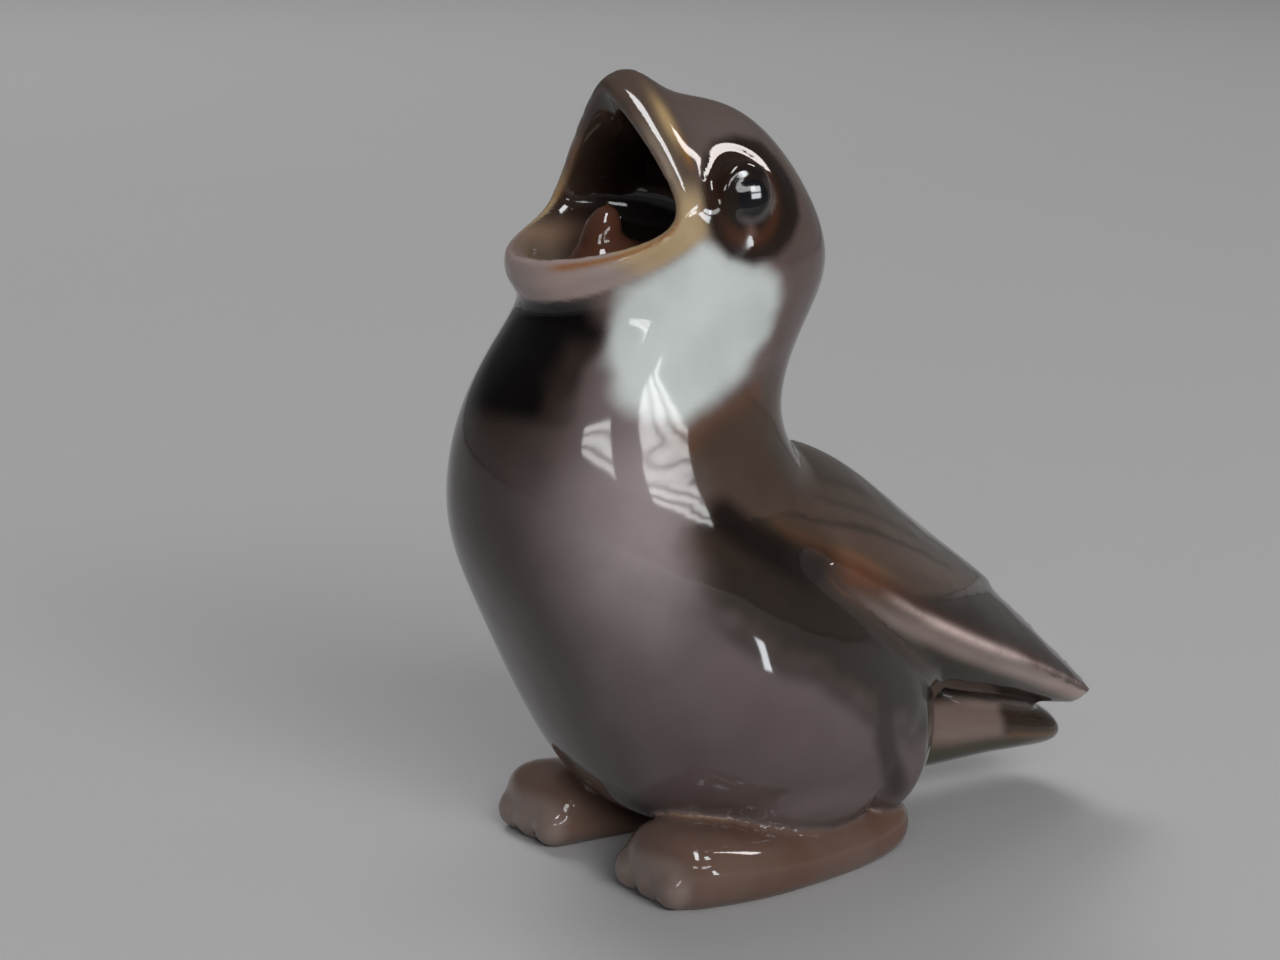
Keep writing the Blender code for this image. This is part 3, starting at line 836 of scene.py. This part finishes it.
# Olive of the tail's underside, partly painted shade
TAIL_OLIVE_AND_SHADE = (0.070, 0.060, 0.042)
TAIL_ORANGE = (0.115, 0.060, 0.025)
FOOT_BROWN = (0.140, 0.088, 0.068)
FOOT_RED = (0.120, 0.062, 0.042)
CLAW_PALE = (0.210, 0.160, 0.140)
HOOD_TAUPE = (0.084, 0.058, 0.046)
FLANGE_CREAM = (0.440, 0.310, 0.160)
FLANGE_TAN = (0.390, 0.285, 0.165)
RIM_PALE = (0.330, 0.265, 0.205)
LOWER_BILL = (0.310, 0.250, 0.235)
LOWER_PINK = (0.350, 0.245, 0.220)
PALATE_BROWN = (0.040, 0.024, 0.018)
MOUTH_FLOOR = (0.190, 0.120, 0.085)
MOUTH_OLIVE = (0.085, 0.072, 0.052)
THROAT_BLACK = (0.008, 0.004, 0.003)
RIM_ORANGE = (0.280, 0.120, 0.040)
TONGUE_PINK = (0.080, 0.033, 0.021)
MASK_BROWN = (0.016, 0.009, 0.006)
IRIS_RUST = (0.060, 0.022, 0.011)
RING_BLACK = (0.012, 0.008, 0.006)
CRESCENT_GREY = (0.075, 0.066, 0.062)
DOT_PINK = (0.160, 0.090, 0.075)
WING_PALE = (0.120, 0.074, 0.055)
WING_OLIVE = (0.048, 0.036, 0.025)
FLANGE_ORANGE = (0.300, 0.140, 0.030)
PUPIL_BLACK = (0.005, 0.005, 0.006)

NECK_RADIUS = 12.5
# Outlines of the painted areas in millimetres: way round the neck and height, or depth and height
CHEEK_OUTLINE = (
    (13.4, 57.6), (10.6, 56.4), (9.3, 54.6), (8.9, 51.8), (9.2, 49.4), (10.4, 46.4), (12.6, 44.9),
    (15.4, 44.6), (18.2, 46.2), (21.6, 48.6), (24.0, 51.0), (25.0, 53.6), (24.6, 56.0), (22.6, 57.8),
    (20.0, 59.4), (17.6, 60.4), (15.6, 59.0),
)
BIB_OUTLINE = (
    (-9.0, 56.0), (3.7, 55.0), (6.6, 54.6), (8.3, 52.2), (7.8, 50.6), (7.1, 48.8), (6.6, 46.8),
    (6.0, 45.0), (4.1, 44.6), (-6.0, 44.6),
)
BACK_OUTLINE = (
    (-12.8, 44.6), (-11.2, 44.6), (-8.1, 45.2), (-6.1, 46.5), (-4.0, 47.4), (0.0, 48.6), (14.0, 50.0),
    (60.0, 40.0), (60.0, 12.0), (12.0, 13.0), (8.4, 16.8), (4.4, 18.6), (-2.1, 22.4), (-8.2, 26.4),
    (-11.2, 29.6), (-13.4, 33.6), (-12.4, 38.6), (-13.2, 42.0),
)
# Outline of the painted shade on the flank under the wing
FLANK_SHADE_OUTLINE = (
    (-12.0, 34.0), (-6.0, 33.0), (2.0, 30.0), (12.0, 24.0), (20.0, 20.0), (24.0, 12.0), (18.0, 10.0),
    (12.0, 13.0), (7.0, 17.0), (0.0, 21.0), (-7.0, 25.0), (-12.0, 29.5),
)
RUST_OUTLINE = (
    (-13.1, 44.9), (-11.0, 45.0), (-8.0, 45.6), (-5.6, 46.9), (-3.4, 47.8), (-2.6, 46.0), (-6.0, 44.8),
    (-9.6, 43.4), (-11.8, 41.6), (-13.2, 42.2),
)
MASK_OUTLINE = (
    (-6.6, 67.0), (-4.7, 68.2), (-2.0, 68.6), (0.6, 68.0), (2.0, 66.0), (2.8, 63.8), (2.1, 61.4),
    (0.4, 59.6), (-1.6, 58.3), (-4.2, 57.8), (-6.5, 58.5), (-7.8, 60.3), (-8.4, 62.3), (-8.0, 64.8),
)
DOT_PLACE = (-4.1, 60.7)
# Lines over the wing as (station, cosine) points, with width and strength
FEATHER_LINES = (
    (((1.2, 0.80), (1.9, 0.55), (2.65, 0.32), (3.3, 0.18), (4.3, -0.08)), 0.055, 0.65),
    (((1.8, 0.20), (2.8, 0.02), (3.8, -0.18), (4.8, -0.36)), 0.06, 0.40),
    (((2.0, -0.20), (3.2, -0.40), (4.6, -0.62)), 0.07, 0.35),
    (((3.0, 0.62), (3.8, 0.48), (4.6, 0.18), (5.4, -0.1)), 0.05, 0.30),
)
PALE_FEATHER = ((1.8, 0.66), (2.6, 0.56), (3.4, 0.46), (4.2, 0.20))
TAN_FEATHER = ((1.1, 1.0), (1.6, 0.98), (2.1, 0.90), (2.9, 0.82))
GROOVE_PATH = (
    (17.0, -10.0, 36.6), (17.5, -8.4, 35.0), (18.0, -6.0, 33.4), (18.3, -3.6, 32.0), (18.3, -1.4, 30.9),
)
# Path of the painted shade in the crease behind the thigh
LEG_CREASE_SHADE_PATH = (
    (18.3, 7.2, 17.4), (18.1, 7.2, 14.0), (16.6, 9.2, 10.6), (14.0, 11.6, 7.6),
)


def add_node(tree, kind, **settings):
    node = tree.nodes.new(kind)
    for name, value in settings.items():
        setattr(node, name, value)
    return node


def times(tree, value, share):
    """The value multiplied by a fixed share."""
    node = add_node(tree, "ShaderNodeMath", operation="MULTIPLY")
    tree.links.new(value, node.inputs[0])
    node.inputs[1].default_value = share
    return node.outputs[0]


def ramp(tree, value, low, high):
    """A soft step of the value from 0 at low to 1 at high."""
    node = add_node(tree, "ShaderNodeMapRange", interpolation_type="SMOOTHSTEP")
    tree.links.new(value, node.inputs["Value"])
    node.inputs["From Min"].default_value = low
    node.inputs["From Max"].default_value = high
    return node.outputs["Result"]


def mix_colour(tree, mask, under, over):
    """Over where the mask is 1, under where it is 0; either may be a socket or a colour."""
    node = add_node(tree, "ShaderNodeMix", data_type="RGBA")
    sockets = {"A": under, "B": over}
    for socket, value in sockets.items():
        target = [s for s in node.inputs if s.name == socket and s.type == "RGBA"][0]
        if isinstance(value, tuple):
            target.default_value = (*value, 1.0)
        else:
            tree.links.new(value, target)
    tree.links.new(mask, node.inputs[0])
    return [s for s in node.outputs if s.type == "RGBA"][0]


def noise(tree, scale, detail):
    node = add_node(tree, "ShaderNodeTexNoise")
    node.inputs["Scale"].default_value = scale
    node.inputs["Detail"].default_value = detail
    tree.links.new(add_node(tree, "ShaderNodeTexCoord").outputs["Object"], node.inputs["Vector"])
    return node.outputs["Fac"]


def attribute(tree, name):
    return add_node(tree, "ShaderNodeAttribute", attribute_name=name)


CLOUD_SHARE = 0.6
GLAZE_ROUGHNESS = 0.07
GLAZE_IOR = 1.5
WAVE_STRENGTH = 0.25
WAVE_DEPTH = 0.6


def glazed_porcelain():
    """Painted colours under a clear, slightly wavy glaze."""
    material = bpy.data.materials.new("glazed_porcelain")
    material.use_nodes = True
    tree = material.node_tree
    shader = tree.nodes["Principled BSDF"]

    paint = attribute(tree, "underglaze").outputs["Color"]
    clouds = ramp(tree, noise(tree, 160.0, 4.0), 0.35, 0.7)
    darker = add_node(tree, "ShaderNodeHueSaturation")
    darker.inputs["Value"].default_value = 0.80
    darker.inputs["Saturation"].default_value = 1.08
    tree.links.new(paint, darker.inputs["Color"])
    brushed = mix_colour(tree, times(tree, clouds, CLOUD_SHARE), paint, darker.outputs["Color"])

    eye = attribute(tree, "eye_distance").outputs["Fac"]
    pupil = ramp(tree, eye, 0.52, 0.47)
    colour = mix_colour(tree, pupil, brushed, PUPIL_BLACK)
    tree.links.new(colour, shader.inputs["Base Color"])

    shader.inputs["Roughness"].default_value = GLAZE_ROUGHNESS
    shader.inputs["IOR"].default_value = GLAZE_IOR

    wave = add_node(tree, "ShaderNodeBump")
    wave.inputs["Strength"].default_value = WAVE_STRENGTH
    wave.inputs["Distance"].default_value = WAVE_DEPTH * MM
    tree.links.new(noise(tree, 150.0, 1.0), wave.inputs["Height"])
    tree.links.new(wave.outputs["Normal"], shader.inputs["Normal"])
    return material


def make_sparrow():
    mesh = cast_skin()
    mesh.name = "porcelain_sparrow_fine"
    surface = Surface(mesh)
    melt_seams(surface)
    carve_eyes(surface)
    paint_bird(surface)
    mesh.shade_smooth()
    mesh.materials.clear()
    mesh.materials.append(glazed_porcelain())
    return add_object("sparrow_casting", mesh)


sparrow = make_sparrow()
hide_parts("porcelain_sparrow")
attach(sparrow, "root")


FLOOR_REACH = 3.5
FLOOR_GREY = (0.45, 0.447, 0.448)


def make_floor():
    """A wide plain floor that fills the picture."""
    reach = FLOOR_REACH
    corners = [(-reach, -reach, 0.0), (reach, -reach, 0.0), (reach, reach, 0.0), (-reach, reach, 0.0)]
    mesh = bpy.data.meshes.new("floor")
    mesh.from_pydata(corners, [], [(0, 1, 2, 3)])
    mesh.materials.append(floor_finish())
    return add_object("floor", mesh)


def floor_finish():
    material = bpy.data.materials.new("pale_floor")
    material.use_nodes = True
    shader = material.node_tree.nodes["Principled BSDF"]
    shader.inputs["Base Color"].default_value = (*FLOOR_GREY, 1.0)
    shader.inputs["Roughness"].default_value = 0.8
    return material


# The camera in millimetres and degrees, as the photograph was taken
CAMERA_AZIMUTH = 57.0
CAMERA_ELEVATION = 12.0
CAMERA_DISTANCE = 290.0
CAMERA_TARGET = (-6.0, -11.4, 35.0)
CAMERA_LENS = 86.0
CAMERA_SENSOR = 36.0
LAMP_TARGET = (0.0, 0.0, 38.0)


def aim(item, place, target):
    """Puts an object at a place and points its -Z at the target, with its +Y up."""
    back = (place - target) / np.linalg.norm(place - target)
    right = np.cross(np.array([0.0, 0.0, 1.0]), back)
    right = right / np.linalg.norm(right)
    up = np.cross(back, right)
    turned = np.eye(4)
    turned[:3, :3] = np.column_stack([right, up, back])
    turned[:3, 3] = place
    item.matrix_world = mathutils.Matrix(turned.tolist())


def add_camera():
    camera = bpy.data.cameras.new("camera")
    camera.lens = CAMERA_LENS
    camera.sensor_width = CAMERA_SENSOR
    camera.clip_start = 0.01
    item = bpy.data.objects.new("camera", camera)
    bpy.context.scene.collection.objects.link(item)
    target = np.array(CAMERA_TARGET) * MM
    aim(item, target + direction(CAMERA_AZIMUTH, CAMERA_ELEVATION) * CAMERA_DISTANCE * MM, target)
    bpy.context.scene.camera = item


def add_panel(name, azimuth, elevation, distance, width, height, power, colour=(1.0, 1.0, 1.0)):
    """A rectangular soft lamp that faces the bird."""
    lamp = bpy.data.lights.new(name, "AREA")
    lamp.shape = "RECTANGLE"
    lamp.size, lamp.size_y = width, height
    lamp.energy = power
    lamp.color = colour
    item = bpy.data.objects.new(name, lamp)
    bpy.context.scene.collection.objects.link(item)
    target = np.array(LAMP_TARGET) * MM
    aim(item, target + direction(azimuth, elevation) * distance, target)
    return item


# Window panes as azimuth and width, and elevation and height
WINDOW_COLUMNS = ((48.0, 0.44), (89.0, 0.80))
WINDOW_ROWS = ((28.6, 0.046), (26.2, 0.046), (23.8, 0.036))
WINDOW_GLOW = 34.0
GLOW = 48.0
WARM = (1.0, 0.93, 0.90)
# Lamps that only the glaze mirrors: azimuth, elevation, distance, width, height, colour
MIRRORED = (
    ("skylight", 58.0, 66.0, 1.4, 0.30, 0.66, (1.0, 1.0, 1.0)),
    ("rear_window", 158.0, 50.0, 1.6, 0.22, 0.46, WARM),
    ("flank_glint", 86.4, -24.5, 0.072, 0.004, 0.011, (0.92, 0.96, 1.0)),
    ("eye_pane_high", 92.7, 37.5, 0.081, 0.016, 0.009, (0.92, 0.96, 1.0)),
    ("eye_pane_low", 92.7, 30.0, 0.081, 0.016, 0.008, (0.92, 0.96, 1.0)),
)


def add_lights():
    """Window panes, lamps that only the glaze mirrors, and soft lamps that it doesn't mirror."""
    for azimuth, width in WINDOW_COLUMNS:
        for elevation, height in WINDOW_ROWS:
            add_panel("window_pane", azimuth, elevation, 1.6, width, height, WINDOW_GLOW * width * height)
    for name, azimuth, elevation, distance, width, height, colour in MIRRORED:
        power = GLOW * width * height
        item = add_panel(name, azimuth, elevation, distance, width, height, power, colour=colour)
        item.visible_diffuse = False
        item.visible_camera = False
    soft_only = (
        add_panel("key", 76.0, 27.0, 1.6, 1.0, 0.40, 14.5),
        add_panel("ceiling", 237.0, 72.0, 2.6, 1.4, 1.4, 9.0),
        add_panel("back_left", 264.0, 45.0, 2.2, 0.9, 0.9, 19.0),
    )
    for item in soft_only:
        item.visible_glossy = False


def set_world():
    """A grey room, paler near the horizon and dark high up in front of the bird."""
    world = bpy.data.worlds.new("studio")
    bpy.context.scene.world = world
    world.use_nodes = True
    tree = world.node_tree
    sky = tree.nodes["Background"]
    way = add_node(tree, "ShaderNodeSeparateXYZ")
    tree.links.new(add_node(tree, "ShaderNodeTexCoord").outputs["Generated"], way.inputs["Vector"])
    pale = ramp(tree, way.outputs["Y"], -0.95, 0.1)
    above = mix_colour(tree, pale, (0.02, 0.02, 0.025), (0.10, 0.102, 0.107))
    high = ramp(tree, way.outputs["Z"], 0.0, 0.30)
    tree.links.new(mix_colour(tree, high, (0.20, 0.20, 0.203), above), sky.inputs["Color"])
    sky.inputs["Strength"].default_value = 1.0


floor = make_floor()
add_camera()
add_lights()
set_world()
bpy.context.scene.view_settings.view_transform = "Standard"
